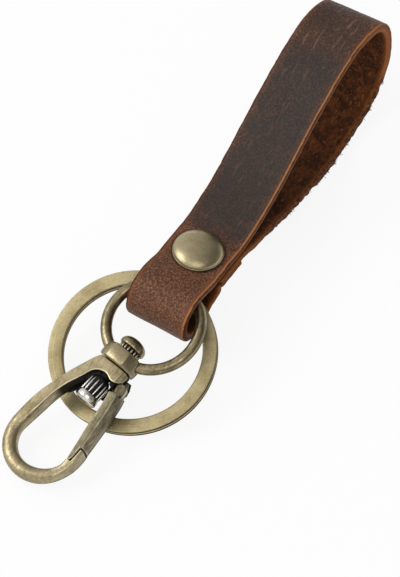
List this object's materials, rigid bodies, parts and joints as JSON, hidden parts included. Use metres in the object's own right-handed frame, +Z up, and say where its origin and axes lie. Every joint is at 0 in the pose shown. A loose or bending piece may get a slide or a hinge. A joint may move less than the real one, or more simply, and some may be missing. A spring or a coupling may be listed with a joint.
{
  "type": "leather keychain",
  "caption": "Leather strap keychain with a riveted hand loop, a flat split ring and a swivel lobster clasp with a sprung gate in antique bronze.",
  "frame": {"origin": "middle of the footprint, on the surface the keychain lies on", "axes": "+Y along the strap from the clasp to the hand loop, +X across the strap, +Z up"},
  "size_m": [0.035, 0.1252, 0.0282],
  "materials": {
    "leather": "waxed, worn",
    "bronze": "antique brushed",
    "steel": "bright"
  },
  "bodies": {
    "strap": {"leather_strap": "leather", "rivet_cap": "bronze", "rivet_socket": "bronze", "rivet_post": "bronze", "rivet_back_cap": "bronze"},
    "ring": {"key_ring": "bronze"},
    "eye": {"swivel_eye": "bronze"},
    "hook": {"swivel_knob": "bronze", "swivel_post": "steel", "hook_body": "bronze", "gate_pin": "steel", "gate_spring": "steel"},
    "gate": {"hook_gate": "bronze"}
  },
  "joints": [
    {"name": "ring_swing", "type": "hinge", "parent": "strap", "child": "ring", "pos_m": [0, -0.01161, 0.00996], "axis": [1, 0, 0], "range_deg": [0, 17]},
    {"name": "hook_swing", "type": "hinge", "parent": "strap", "child": "eye", "pos_m": [0.00365, -0.01266, 0.0134], "axis": [-0.9816, 0.1908, 0], "range_deg": [0, 20]},
    {"name": "hook_swivel", "type": "hinge", "parent": "eye", "child": "hook", "pos_m": [0.00365, -0.01266, 0.0134], "axis": [0.1861, 0.9575, 0.2202], "range_deg": [-5, 10]},
    {"name": "gate_open", "type": "hinge", "parent": "hook", "child": "gate", "pos_m": [0.00359, -0.03709, 0.00798], "axis": [0.042, 0.2162, -0.9755], "range_deg": [0, 15], "stiffness_Nm_per_rad": 0.02, "springref_deg": -17.19, "deforming": ["gate_spring"]}
  ]
}
